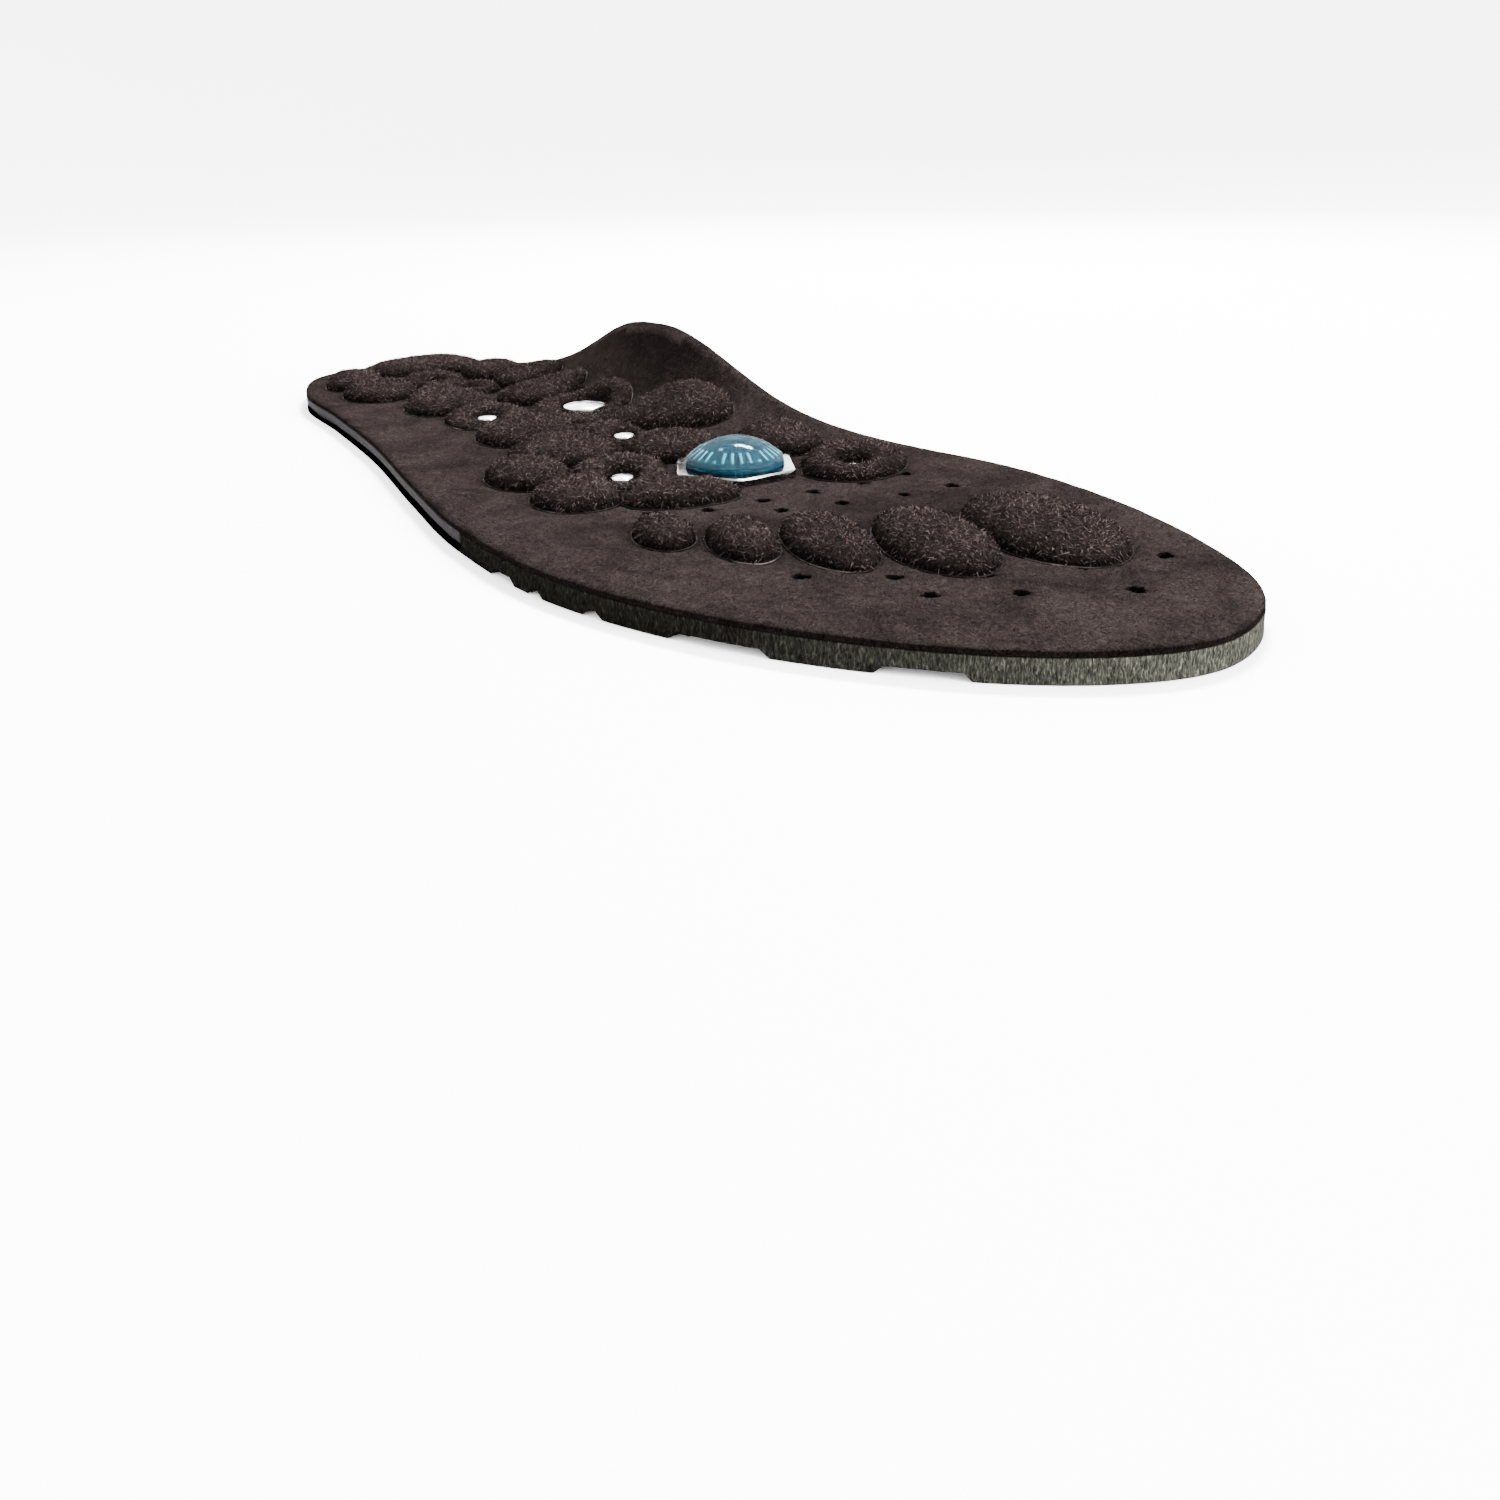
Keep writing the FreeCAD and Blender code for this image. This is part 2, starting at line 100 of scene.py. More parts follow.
# Magnets: node, centre x and y, radius, thickness, radius of the well around it.
MAGNETS = {
    "heel_ring_pad_1": ("heel_magnet_1", 38.4, -2.8, 2.0, 1.4, 2.5),
    "heel_ring_pad_2": ("heel_magnet_2", 53.6, 0.0, 2.0, 1.4, 2.5),
    "outer_ring_pad": ("outer_magnet", 87.9, -9.5, 2.0, 1.4, 2.6),
    "middle_ring_pad_1": ("middle_magnet_1", 121.8, 4.8, 2.0, 1.4, 2.5),
    "middle_ring_pad_2": ("middle_magnet_2", 151.6, -11.5, 2.0, 1.4, 2.6),
    "ball_ring_pad": ("ball_magnet", 170.0, 24.0, 2.0, 1.4, 2.6),
    "arch_ring_pad": ("arch_magnet", 93.0, 10.6, 4.5, 2.4, 5.0),
}

VENTS = [
    (178, 29), (178.5, 19.5), (178, 9.5), (177.5, 0), (177, -10), (173, -18),
    (189, 30), (188.5, 20), (186.5, 9), (184, -1),
    (235, 27), (231.5, 14.5), (226, 3), (219.5, -8), (212, -17.5),
    (242, 13), (234, 0.5), (227.5, -9),
]
TREAD_BARS = [(174.5, 180.2), (185.2, 188.7), (197.5, 200.5), (212.5, 224), (235.2, 243.5)]

# Ring pads are pressed down on the side towards the toe and the outer edge.
RIM_DROP = 0.62
SLIGHT_RIM_DROP = 0.15
FULL_RIMS = ("heel_ring_pad_1", "heel_ring_pad_2", "ball_ring_pad")
RIM_LOW_SIDE = math.radians(-25)

# Toe pads are blunt at the back and come to a soft point at the front.
TOE_TIP = 0.38

BUTTON = (158.5, 7.0)


# ---------------------------------------------------------------- plan geometry


def place(x, y, z):
    return Vector(((x - ORIGIN_X) * MM, (y - ORIGIN_Y) * MM, z * MM))


def spline(points, steps):
    """Closed smooth curve through the points, with a number of steps in each span."""
    out = []
    count = len(points)
    for index in range(count):
        a, b, c, d = (Vector(points[(index + shift) % count]) for shift in (-1, 0, 1, 2))
        for step in range(steps):
            t = step / steps
            out.append(0.5 * (2 * b + (c - a) * t + (2 * a - 5 * b + 4 * c - d) * t ** 2
                              + (3 * b - a - 3 * c + d) * t ** 3))
    return out


def area_of(loop):
    total = 0.0
    for index, point in enumerate(loop):
        before = loop[index - 1]
        total += before.x * point.y - point.x * before.y
    return total / 2


def inset_loop(loop, distance):
    sign = 1 if area_of(loop) > 0 else -1
    out = []
    for index, point in enumerate(loop):
        run = loop[(index + 1) % len(loop)] - loop[index - 1]
        side = Vector((-run.y, run.x)).normalized() * sign
        out.append(point + side * distance)
    return out


def inside(loop, x, y):
    hit = False
    for index, b in enumerate(loop):
        a = loop[index - 1]
        if (a.y > y) != (b.y > y) and x < (b.x - a.x) * (y - a.y) / (b.y - a.y) + a.x:
            hit = not hit
    return hit


def arch(x, y):
    """Rise of the arch flange above the flat foam."""
    share = max(0.0, (y - ARCH_FOOT) / ARCH_RUN)
    reach = ARCH_REACH_TOE if x > ARCH_X else ARCH_REACH_HEEL
    return ARCH_RISE * math.exp(-((x - ARCH_X) / reach) ** 2) * share ** 2


def split_at_joint(front):
    """Outline of the foam behind or in front of the joint, closed along the joint."""
    loop = spline(OUTLINE, 24)
    kept = [p for p in loop if (p.x > JOINT) == front]
    start = next(i for i in range(len(kept)) if (kept[i] - kept[i - 1]).length > 20)
    kept = kept[start:] + kept[:start]
    first, last = kept[0], kept[-1]
    first = Vector((JOINT, first.y))
    last = Vector((JOINT, last.y))
    steps = 40
    bridge = [last.lerp(first, step / steps) for step in range(steps + 1)]
    return kept + bridge


# ---------------------------------------------------------------- pads in plan


def reach_of(pad, dx, dy):
    """How far out a plan point is in a pad's own measure: 1 on its outline."""
    turn = math.radians(pad[5])
    along = (dx * math.cos(turn) + dy * math.sin(turn)) / pad[3]
    wide = (-dx * math.sin(turn) + dy * math.cos(turn)) / pad[4]
    wide /= 1 + pad[7] * max(-1.0, min(1.0, along))
    power = pad[8] - (TOE_TIP * max(-1.0, min(1.0, along)) if pad[0].startswith("toe") else 0)
    return (abs(along) ** power + abs(wide) ** power) ** (1 / power)


def inside_pad(pad, rivals, x, y):
    own = reach_of(pad, x - pad[1], y - pad[2])
    if own > 1:
        return False
    for rival in rivals:
        if own > reach_of(rival, x - rival[1], y - rival[2]) - 0.05:
            return False
    return math.hypot(x - BUTTON[0], y - BUTTON[1]) > 11.9


def pad_outline(pad, pole, count=112):
    """Distance from the pole to the pad's edge at each angle, trimmed where pads meet."""
    near = [p for p in PADS if p is not pad and math.hypot(p[1] - pad[1], p[2] - pad[2]) < 32]
    reach = []
    for step in range(count):
        angle = 2 * math.pi * step / count
        low, high = 0.0, 26.0
        for halving in range(14):
            middle = (low + high) / 2
            x = pole[0] + middle * math.cos(angle)
            y = pole[1] + middle * math.sin(angle)
            if inside_pad(pad, near, x, y):
                low = middle
            else:
                high = middle
        reach.append(low)
    for smoothing in range(4):
        reach = [(reach[i - 1] + 2 * reach[i] + reach[(i + 1) % count]) / 4 for i in range(count)]
    return reach


PAD_EDGES = {}


def all_pad_outlines():
    for pad in PADS:
        magnet = MAGNETS.get(pad[0])
        pole = magnet[1:3] if magnet else pad[1:3]
        PAD_EDGES[pad[0]] = (pole, pad_outline(pad, pole))


def new_object(name, verts, faces, materials, marks=None):
    """Smooth-shaded mesh object; marks gives each face's material index."""
    mesh = bpy.data.meshes.new(name)
    mesh.from_pydata([tuple(v) for v in verts], [], faces)
    for material in materials:
        mesh.materials.append(material)
    if marks:
        mesh.polygons.foreach_set("material_index", marks)
    mesh.polygons.foreach_set("use_smooth", [True] * len(mesh.polygons))
    work = bmesh.new()
    work.from_mesh(mesh)
    bmesh.ops.recalc_face_normals(work, faces=work.faces)
    work.to_mesh(mesh)
    work.free()
    mesh.update()
    piece = bpy.data.objects.new(name, mesh)
    bpy.context.scene.collection.objects.link(piece)
    return piece


def add_piece(piece, node):
    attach(piece, "root")
    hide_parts(node)


def grid_points(loop, pitch, clear):
    """Staggered points inside a loop, kept a little off its edge."""
    fence = inset_loop(loop, clear)
    low_x = min(p.x for p in loop)
    high_x = max(p.x for p in loop)
    low_y = min(p.y for p in loop)
    high_y = max(p.y for p in loop)
    points = []
    row = 0
    y = low_y
    while y < high_y:
        x = low_x + (pitch / 2 if row % 2 else 0)
        while x < high_x:
            if inside(fence, x, y):
                points.append(Vector((x, y)))
            x += pitch
        y += pitch * 0.87
        row += 1
    return points


def triangulate(rings, holes, points):
    """Triangles between the outer ring and the holes, through the given points."""
    verts = []
    edges = []
    for ring in [rings] + holes:
        start = len(verts)
        verts += ring
        edges += [(start + i, start + (i + 1) % len(ring)) for i in range(len(ring))]
    verts += points
    out_verts, out_edges, faces, *rest = delaunay_2d_cdt(verts, edges, [], 0, 1e-5)
    kept = []
    for face in faces:
        x = sum(out_verts[i].x for i in face) / len(face)
        y = sum(out_verts[i].y for i in face) / len(face)
        if inside(rings, x, y) and not any(inside(hole, x, y) for hole in holes):
            kept.append(tuple(face))
    return out_verts, kept


def slab(name, loop, holes, top, bottom, profile, pitch, materials, wobble=0.0):
    """Closed body over a plan outline.

    top and bottom give heights; profile lists (share of the height, inset) down the wall."""
    points = grid_points(loop, pitch, pitch * 0.8)
    points = [p for p in points if not any(inside(hole, p.x, p.y) for hole in holes)]
    flat, faces = triangulate(loop, holes, points)
    count = len(flat)
    verts = [place(p.x, p.y, top(p.x, p.y)) for p in flat]
    verts += [place(p.x, p.y, bottom(p.x, p.y)) for p in flat]
    all_faces = list(faces) + [tuple(i + count for i in reversed(f)) for f in faces]
    uses = {}
    for face in faces:
        for i in range(len(face)):
            a, b = face[i], face[(i + 1) % len(face)]
            key = (min(a, b), max(a, b))
            uses.setdefault(key, []).append((a, b))
    rim = {}
    for key, runs in uses.items():
        if len(runs) == 1:
            rim[runs[0][0]] = runs[0][1]
    columns = {}
    top_inset, bottom_inset = profile[0][1], profile[-1][1]
    centre_side = {}
    back = {b: a for a, b in rim.items()}
    for index in rim:
        run = flat[rim[index]] - flat[back[index]]
        side = Vector((-run.y, run.x)).normalized()
        centre_side[index] = side
    for index in rim:
        spot = flat[index]
        side = centre_side[index]
        high = top(spot.x, spot.y)
        low = bottom(spot.x, spot.y)
        column = []
        for share, inset in profile:
            moved = spot + side * inset
            shake = wobble * noise.noise(Vector((spot.x * 0.9, spot.y * 0.9, share * 3)))
            moved += side * shake
            verts.append(place(moved.x, moved.y, high + (low - high) * share))
            column.append(len(verts) - 1)
        columns[index] = [index] + column + [index + count]
    for a, b in rim.items():
        for level in range(len(profile) + 1):
            all_faces.append((columns[a][level], columns[a][level + 1],
                              columns[b][level + 1], columns[b][level]))
    piece = new_object(name, verts, all_faces, materials)
    work = bmesh.new()
    work.from_mesh(piece.data)
    bmesh.ops.remove_doubles(work, verts=work.verts, dist=1e-6)
    bmesh.ops.recalc_face_normals(work, faces=work.faces)
    work.to_mesh(piece.data)
    work.free()
    return piece


def lathe(name, centre, profile, materials, segments=72):
    """Turned piece: profile lists (radius, height) from the axis at the top to the bottom."""
    verts = []
    faces = []
    base = place(centre[0], centre[1], 0)
    for radius, height in profile:
        for step in range(segments):
            angle = 2 * math.pi * step / segments
            verts.append(base + Vector((radius * math.cos(angle), radius * math.sin(angle),
                                        height)) * MM)
    for row in range(len(profile) - 1):
        for step in range(segments):
            after = (step + 1) % segments
            faces.append((row * segments + step, (row + 1) * segments + step,
                          (row + 1) * segments + after, row * segments + after))
    faces.append(tuple(range(segments)))
    faces.append(tuple(reversed(range((len(profile) - 1) * segments, len(profile) * segments))))
    return new_object(name, verts, faces, materials)


# ---------------------------------------------------------------- materials


def blank_material(name):
    material = bpy.data.materials.new(name)
    material.use_nodes = True
    tree = material.node_tree
    shader = tree.nodes["Principled BSDF"]
    return material, tree, shader


def node(tree, kind, settings=None, inputs=None):
    made = tree.nodes.new(kind)
    for key, value in (settings or {}).items():
        setattr(made, key, value)
    for key, value in (inputs or {}).items():
        made.inputs[key].default_value = value
    return made


def noise_node(tree, coords, scale, detail=2.0, distortion=0.0, roughness=0.5):
    made = node(tree, "ShaderNodeTexNoise", None, {
        "Scale": scale, "Detail": detail, "Distortion": distortion, "Roughness": roughness})
    tree.links.new(coords, made.inputs["Vector"])
    return made.outputs["Fac"]


def ramp(tree, value, stops):
    made = node(tree, "ShaderNodeValToRGB")
    elements = made.color_ramp.elements
    while len(elements) < len(stops):
        elements.new(0.5)
    for element, (position, colour) in zip(elements, stops):
        element.position = position
        element.color = (*colour, 1)
    tree.links.new(value, made.inputs["Fac"])
    return made.outputs["Color"]


def mix(tree, share, first, second, mode="MIX"):
    made = node(tree, "ShaderNodeMix", {"data_type": "RGBA", "blend_type": mode})
    for socket, value in ((made.inputs[0], share), (made.inputs[6], first), (made.inputs[7], second)):
        if hasattr(value, "links"):
            tree.links.new(value, socket)
        else:
            socket.default_value = value if isinstance(value, float) else (*value, 1)
    return made.outputs[2]


def bump(tree, height, distance, strength=1.0, below=None):
    made = node(tree, "ShaderNodeBump", None, {"Strength": strength, "Distance": distance})
    tree.links.new(height, made.inputs["Height"])
    if below is not None:
        tree.links.new(below, made.inputs["Normal"])
    return made.outputs["Normal"]


def object_coords(tree):
    return node(tree, "ShaderNodeTexCoord").outputs["Object"]


def velvet_material(name, dark, light, pile_scale, pile_depth, steep, patches):
    """Matted velvet: squiggly pile, brushed patches, and painted shade that darkens steep faces."""
    material, tree, shader = blank_material(name)
    coords = object_coords(tree)
    pile = noise_node(tree, coords, pile_scale, 3.0, 2.2, 0.6)
    fine = noise_node(tree, coords, pile_scale * 3.1, 2.0, 0.6)
    brushed = noise_node(tree, coords, 70.0, 4.0, 1.2, 0.6)
    tone = ramp(tree, pile, [(0.33, dark), (0.66, light)])
    dimmed = ramp(tree, brushed, [(0.32, (patches,) * 3), (0.64, (1.0, 1.0, 1.0))])
    brushed_tone = mix(tree, 1.0, tone, dimmed, "MULTIPLY")
    # Painted shade: the colour darkens as a face tilts away from upright, standing in for the shade
    # on steep sides and on the arch flange.
    facing = node(tree, "ShaderNodeSeparateXYZ")
    tree.links.new(node(tree, "ShaderNodeNewGeometry").outputs["Normal"], facing.inputs[0])
    painted_steep_shade = ramp(tree, facing.outputs["Z"], [(0.35, (steep,) * 3), (0.95, (1.0, 1.0, 1.0))])
    colour = mix(tree, 1.0, brushed_tone, painted_steep_shade, "MULTIPLY")
    tree.links.new(colour, shader.inputs["Base Color"])
    low = bump(tree, fine, pile_depth * 0.35)
    tree.links.new(bump(tree, pile, pile_depth, 1.0, low), shader.inputs["Normal"])
    shader.inputs["Roughness"].default_value = 0.92
    shader.inputs["Specular IOR Level"].default_value = 0.0
    shader.inputs["Sheen Weight"].default_value = 0.005
    shader.inputs["Sheen Roughness"].default_value = 0.42
    shader.inputs["Sheen Tint"].default_value = (0.9, 0.74, 0.70, 1)
    return material


def weld_material():
    """Flattened, heat-pressed velvet of the weld line: mostly dark, with pale stretches that are
    painted highlights.
    """
    material, tree, shader = blank_material("weld_line")
    coords = object_coords(tree)
    grain = noise_node(tree, coords, 900.0, 2.0)
    # Painted highlights: this patchy mask turns stretches of the dark weld pale, standing in for
    # glints.
    painted_glint_mask = noise_node(tree, coords, 110.0, 2.0)
    tone = ramp(tree, painted_glint_mask, [(0.54, (0.003, 0.0024, 0.0023)), (0.70, (0.040, 0.036, 0.035))])
    speck = ramp(tree, grain, [(0.35, (0.5,) * 3), (0.6, (1.0,) * 3)])
    tree.links.new(mix(tree, 1.0, tone, speck, "MULTIPLY"), shader.inputs["Base Color"])
    tree.links.new(bump(tree, grain, 0.00008), shader.inputs["Normal"])
    shader.inputs["Roughness"].default_value = 0.55
    shader.inputs["Specular IOR Level"].default_value = 0.01
    return material


def moulded_material():
    """Smooth skin of the moulded rear base."""
    material, tree, shader = blank_material("moulded_foam")
    coords = object_coords(tree)
    skin = noise_node(tree, coords, 700.0, 4.0, 0.0, 0.7)
    wear = noise_node(tree, coords, 60.0, 3.0)
    tone = ramp(tree, wear, [(0.3, (0.005, 0.0046, 0.0052)), (0.7, (0.009, 0.0083, 0.0092))])
    tree.links.new(tone, shader.inputs["Base Color"])
    shader.inputs["Specular IOR Level"].default_value = 0.01
    rough = ramp(tree, wear, [(0.3, (0.72,) * 3), (0.7, (0.85,) * 3)])
    tree.links.new(rough, shader.inputs["Roughness"])
    tree.links.new(bump(tree, skin, 0.00006), shader.inputs["Normal"])
    return material


def speckled_material():
    """Cut foam: dark cells with pale grey-green flecks, and painted light that makes faces turned to
    the toe end palest.
    """
    material, tree, shader = blank_material("speckled_foam")
    coords = object_coords(tree)
    upright = node(tree, "ShaderNodeMapping", {"vector_type": "POINT"}, {"Scale": (1, 1, 0.3)})
    tree.links.new(coords, upright.inputs["Vector"])
    grain = upright.outputs["Vector"]
    cells = node(tree, "ShaderNodeTexVoronoi", None, {"Scale": 4200.0, "Randomness": 1.0})
    tree.links.new(grain, cells.inputs["Vector"])
    flecks = noise_node(tree, grain, 3600.0, 3.0, 0.6, 0.7)
    base = ramp(tree, flecks, [(0.36, (0.005, 0.005, 0.0044)), (0.54, (0.016, 0.0160, 0.0130)),
                               (0.72, (0.052, 0.052, 0.040))])
    # Painted light and shade: the colour is full only on faces turned towards the toe end and is
    # darkened on all other faces, standing in for light from that side.
    facing = node(tree, "ShaderNodeSeparateXYZ")
    tree.links.new(node(tree, "ShaderNodeNewGeometry").outputs["Normal"], facing.inputs[0])
    side = ramp(tree, facing.outputs["X"], [(0.45, (0.16,) * 3), (0.92, (1.0, 1.0, 1.0))])
    pore = ramp(tree, cells.outputs["Distance"], [(0.1, (0.45,) * 3), (0.45, (1.0,) * 3)])
    celled = mix(tree, 1.0, base, pore, "MULTIPLY")
    tree.links.new(mix(tree, 1.0, celled, side, "MULTIPLY"), shader.inputs["Base Color"])
    low = bump(tree, flecks, 0.00008)
    tree.links.new(bump(tree, cells.outputs["Distance"], 0.00015, 1.0, low),
                   shader.inputs["Normal"])
    shader.inputs["Roughness"].default_value = 0.88
    shader.inputs["Specular IOR Level"].default_value = 0.0
    return material


def magnet_material():
    """Plated magnet: bright, with faint turning scratches."""
    material, tree, shader = blank_material("magnet_metal")
    coords = object_coords(tree)
    smear = noise_node(tree, coords, 500.0, 3.0, 0.5)
    tree.links.new(ramp(tree, smear, [(0.3, (0.62, 0.61, 0.6)), (0.7, (0.86, 0.86, 0.85))]),
                   shader.inputs["Base Color"])
    tree.links.new(ramp(tree, smear, [(0.3, (0.16,) * 3), (0.7, (0.32,) * 3)]),
                   shader.inputs["Roughness"])
    tree.links.new(bump(tree, smear, 0.00002), shader.inputs["Normal"])
    shader.inputs["Metallic"].default_value = 1.0
    return material


def clear_material(name, roughness, tint, coat):
    """Clear cast resin with faint waviness."""
    material, tree, shader = blank_material(name)
    coords = object_coords(tree)
    wave = noise_node(tree, coords, 160.0, 1.0)
    tree.links.new(bump(tree, wave, 0.00002, 0.3), shader.inputs["Normal"])
    shader.inputs["Base Color"].default_value = (*tint, 1)
    shader.inputs["Transmission Weight"].default_value = 1.0
    shader.inputs["Roughness"].default_value = roughness
    shader.inputs["IOR"].default_value = 1.49
    shader.inputs["Specular IOR Level"].default_value = 0.0
    shader.inputs["Coat Weight"].default_value = coat
    shader.inputs["Coat Roughness"].default_value = 0.02
    return material


def cap_material():
    """Thin clear finish of the dome: nearly transparent, with a hard highlight."""
    material, tree, shader = blank_material("clear_cap")
    coords = object_coords(tree)
    wave = noise_node(tree, coords, 160.0, 1.0)
    tree.links.new(bump(tree, wave, 0.00002, 0.3), shader.inputs["Normal"])
    shader.inputs["Base Color"].default_value = (0.01, 0.02, 0.03, 1)
    shader.inputs["Alpha"].default_value = 0.10
    shader.inputs["Roughness"].default_value = 0.03
    shader.inputs["IOR"].default_value = 1.49
    return material


def print_material():
    """Glittery teal print under the dome, drawn with dots in rows."""
    material, tree, shader = blank_material("button_print")
    coords = object_coords(tree)
    glitter = node(tree, "ShaderNodeTexVoronoi", None, {"Scale": 2300.0, "Randomness": 0.35})
    tree.links.new(coords, glitter.inputs["Vector"])
    spark = ramp(tree, glitter.outputs["Distance"],
                 [(0.14, (0.020, 0.060, 0.078)), (0.40, (0.0, 0.0, 0.0))])
    cloud = noise_node(tree, coords, 240.0, 3.0, 0.8)
    sea = ramp(tree, cloud, [(0.3, (0.0007, 0.003, 0.006)), (0.7, (0.002, 0.011, 0.017))])
    tree.links.new(mix(tree, 1.0, sea, spark, "ADD"), shader.inputs["Base Color"])
    shader.inputs["Roughness"].default_value = 0.7
    shader.inputs["Specular IOR Level"].default_value = 0.0
    return material


def tick_material():
    material, tree, shader = blank_material("button_ticks")
    coords = object_coords(tree)
    ink = noise_node(tree, coords, 900.0, 2.0)
    tree.links.new(ramp(tree, ink, [(0.3, (0.018, 0.085, 0.105)), (0.7, (0.035, 0.135, 0.160))]),
                   shader.inputs["Base Color"])
    shader.inputs["Roughness"].default_value = 0.7
    shader.inputs["Specular IOR Level"].default_value = 0.0
    return material


def floor_material():
    material, tree, shader = blank_material("floor")
    coords = object_coords(tree)
    shade = noise_node(tree, coords, 3.0, 2.0)
    tree.links.new(ramp(tree, shade, [(0.3, (0.90,) * 3), (0.7, (0.93,) * 3)]),
                   shader.inputs["Base Color"])
    shader.inputs["Roughness"].default_value = 0.7
    return material


# ---------------------------------------------------------------- pile


def make_pile(piece, replaced, density, length, width, material):
    """Short velvet tufts on a piece's upper faces, each a closed, thin, leaning spike."""
    source = random.Random(replaced)
    verts = []
    faces = []
    corners = [v.co for v in piece.data.vertices]
    for face in piece.data.polygons:
        if face.material_index != 0 or face.normal.z < 0.05:
            continue
        wanted = face.area / MM ** 2 * density
        number = int(wanted) + (1 if source.random() < wanted % 1 else 0)
        spots = [corners[i] for i in face.vertices]
        for blade in range(number):
            share, other = source.random(), source.random()
            if share + other > 1:
                share, other = 1 - share, 1 - other
            third = source.randrange(1, len(spots) - 1)
            root = spots[0] + (spots[third] - spots[0]) * share \
                + (spots[third + 1] - spots[0]) * other
            lean = Vector([source.uniform(-1, 1) for axis in range(3)])
            lean -= face.normal * lean.dot(face.normal)
            tip = root + (face.normal * source.uniform(0.15, 0.5) + lean) \
                * length * MM * source.uniform(0.6, 1.3)
            side = (tip - root).cross(face.normal).normalized() * width * MM / 2
            sunk = root - face.normal * 0.1 * MM
            start = len(verts)
            verts += [root - side, root + side, tip, sunk]
            faces += [(start, start + 1, start + 2), (start, start + 3, start + 1),
                      (start + 1, start + 3, start + 2), (start + 2, start + 3, start)]
    mesh = bpy.data.meshes.new(replaced + "_pile")
    mesh.from_pydata([tuple(v) for v in verts], [], faces)
    mesh.materials.append(material)
    pile = bpy.data.objects.new(replaced + "_pile", mesh)
    bpy.context.scene.collection.objects.link(pile)
    add_piece(pile, replaced)
    return pile


# ---------------------------------------------------------------- foam layers and cover


def vent_loop(x, y, seed):
    """Slightly ragged round hole."""
    source = random.Random(seed)
    loop = []
    for step in range(14):
        angle = 2 * math.pi * step / 14
        radius = VENT_RADIUS * (1 + source.uniform(-0.3, 0.3))
        loop.append(Vector((x + radius * math.cos(angle), y + radius * math.sin(angle))))
    return loop


def weld_dip(x, y):
    """How far the cover is pressed down along the weld lines."""
    best = 9.0
    for name, (pole, reach) in PAD_EDGES.items():
        dx = x - pole[0]
        dy = y - pole[1]
        distance = math.hypot(dx, dy)
        if distance > 30:
            continue
        turn = math.atan2(dy, dx) % (2 * math.pi)
        edge = reach[int(turn / (2 * math.pi) * len(reach)) % len(reach)]
        best = min(best, abs(distance - edge))
    return 0.45 * math.exp(-(best / 0.9) ** 2)


def pile_lift(x, y, amount):
    """Small unevenness of the matted pile."""
    spot = Vector((x, y, 0))
    return amount * (noise.noise(spot * 1.1) + 0.6 * noise.noise(spot * 0.25))


def cover_top(x, y):
    return VELVET + arch(x, y) - weld_dip(x, y) + pile_lift(x, y, 0.07)


def cover_bottom(x, y):
    return GROUND + arch(x, y)


def make_cover(material):
    loop = spline(OUTLINE, 14)
    holes = [vent_loop(x, y, index) for index, (x, y) in enumerate(VENTS)]
    profile = [(0.12, -0.02), (0.4, -0.12), (0.75, -0.08), (0.95, 0.0)]
    piece = slab("velvet_cover", inset_loop(loop, 0.15), holes, cover_top, cover_bottom,
                 profile, 1.15, [material], wobble=0.12)
    add_piece(piece, "top_cover")


def rear_top(x, y):
    return GROUND + arch(x, y)


def rear_bottom(x, y):
    return max(0.0, arch(x, y) - ARCH_WALL)


def make_rear_foam(material):
    profile = [(0.06, 0.0), (0.35, 0.02), (0.55, 0.25), (0.75, 0.75), (0.92, 1.3), (1.0, 1.8)]
    piece = slab("rear_foam", split_at_joint(False), [], rear_top, rear_bottom, profile, 2.2,
                 [material])
    add_piece(piece, "rear_base")
    return piece


def toe_top(x, y):
    return GROUND


def toe_bottom(x, y):
    for start, end in TREAD_BARS:
        if start < x < end:
            return TREAD_DEPTH
    return 0.0


def make_toe_foam(material):
    holes = [vent_loop(x, y, index) for index, (x, y) in enumerate(VENTS)]
    profile = [(0.03, 0.0), (0.3, 0.02), (0.6, 0.05), (0.97, 0.03)]
    piece = slab("toe_foam", split_at_joint(True), holes, toe_top, toe_bottom, profile, 1.6,
                 [material], wobble=0.10)
    add_piece(piece, "forefoot_foam")
    return piece


# ---------------------------------------------------------------- pads


def crown(share, pad):
    """Height over the pad from its middle (0) to its edge (1): flat top, steep puffy side."""
    return pad[6] * max(0.0, 1 - share ** 2.7) ** 0.52


